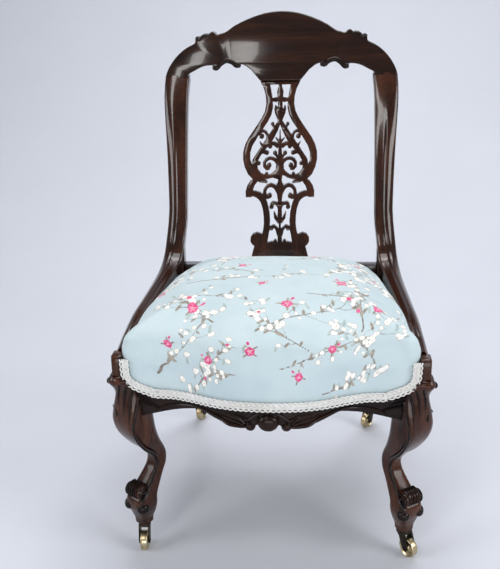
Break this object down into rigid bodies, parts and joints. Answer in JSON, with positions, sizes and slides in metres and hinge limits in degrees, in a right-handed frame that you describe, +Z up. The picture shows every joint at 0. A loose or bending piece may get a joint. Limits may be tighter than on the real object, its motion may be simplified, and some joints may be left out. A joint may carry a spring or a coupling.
{
  "type": "balloon back dining chair",
  "caption": "Low balloon back chair in carved dark wood: pierced fret splat, uprights that sweep forward to cabriole front legs, stuffed seat with gimp braid, swivel castors.",
  "frame": {"origin": "on the floor, under the middle of the chair's bounding box", "axes": "+Z up, -Y the way the chair faces, +X to the right of someone who looks at its front"},
  "size_m": [0.5334, 0.621, 0.901],
  "materials": {
    "show_wood": "dark red-brown mahogany, French polished, glossy, nearly black in the carving",
    "beech": "plain sawn beech, unpolished",
    "castor_iron": "darkened cast metal",
    "castor_brass": "worn pale brass",
    "webbing": "jute webbing",
    "hessian": "open hessian",
    "stuffing": "hair stuffing under calico",
    "seat_cloth": "smooth printed furnishing cotton, pale duck-egg blue with a small sprig print",
    "braid": "cream looped gimp braid"
  },
  "bodies": {
    "frame": {"crest_rail": "show_wood", "fret_splat": "show_wood", "back_post_left": "show_wood", "back_post_right": "show_wood", "sweep_left": "show_wood", "sweep_right": "show_wood", "front_leg_left": "show_wood", "front_leg_right": "show_wood", "front_rail": "show_wood", "side_rail_left": "show_wood", "side_rail_right": "show_wood", "rear_rail": "show_wood", "corner_blocks": "beech", "castor_plates": "castor_iron", "webbing_front_to_back": "webbing", "webbing_side_to_side": "webbing", "seat_hessian": "hessian", "seat_stuffing": "stuffing", "seat_cover": "seat_cloth", "seat_braid": "braid"},
    "castor_front_left": {"castor_horn_front_left": "castor_iron"},
    "wheel_front_left": {"castor_wheel_front_left": "castor_brass"},
    "castor_front_right": {"castor_horn_front_right": "castor_iron"},
    "wheel_front_right": {"castor_wheel_front_right": "castor_brass"},
    "castor_rear_left": {"castor_horn_rear_left": "castor_iron"},
    "wheel_rear_left": {"castor_wheel_rear_left": "castor_brass"},
    "castor_rear_right": {"castor_horn_rear_right": "castor_iron"},
    "wheel_rear_right": {"castor_wheel_rear_right": "castor_brass"}
  },
  "joints": [
    {"name": "swivel_front_left", "type": "hinge", "parent": "frame", "child": "castor_front_left", "pos_m": [-0.229, -0.23247, 0.047], "axis": [0, 0, 1], "continuous": true},
    {"name": "roll_front_left", "type": "hinge", "parent": "castor_front_left", "child": "wheel_front_left", "pos_m": [-0.22809, -0.24544, 0.0175], "axis": [0.9976, 0.0698, 0], "continuous": true},
    {"name": "swivel_front_right", "type": "hinge", "parent": "frame", "child": "castor_front_right", "pos_m": [0.229, -0.23247, 0.047], "axis": [0, 0, 1], "continuous": true},
    {"name": "roll_front_right", "type": "hinge", "parent": "castor_front_right", "child": "wheel_front_right", "pos_m": [0.237, -0.24271, 0.0175], "axis": [0.788, 0.6157, 0], "continuous": true},
    {"name": "swivel_rear_left", "type": "hinge", "parent": "frame", "child": "castor_rear_left", "pos_m": [-0.196, 0.23353, 0.047], "axis": [0, 0, 1], "continuous": true},
    {"name": "roll_rear_left", "type": "hinge", "parent": "castor_rear_left", "child": "wheel_rear_left", "pos_m": [-0.19155, 0.24575, 0.0175], "axis": [-0.9397, 0.342, 0], "continuous": true},
    {"name": "swivel_rear_right", "type": "hinge", "parent": "frame", "child": "castor_rear_right", "pos_m": [0.196, 0.23353, 0.047], "axis": [0, 0, 1], "continuous": true},
    {"name": "roll_rear_right", "type": "hinge", "parent": "castor_rear_right", "child": "wheel_rear_right", "pos_m": [0.18854, 0.22288, 0.0175], "axis": [0.8192, -0.5736, 0], "continuous": true}
  ]
}
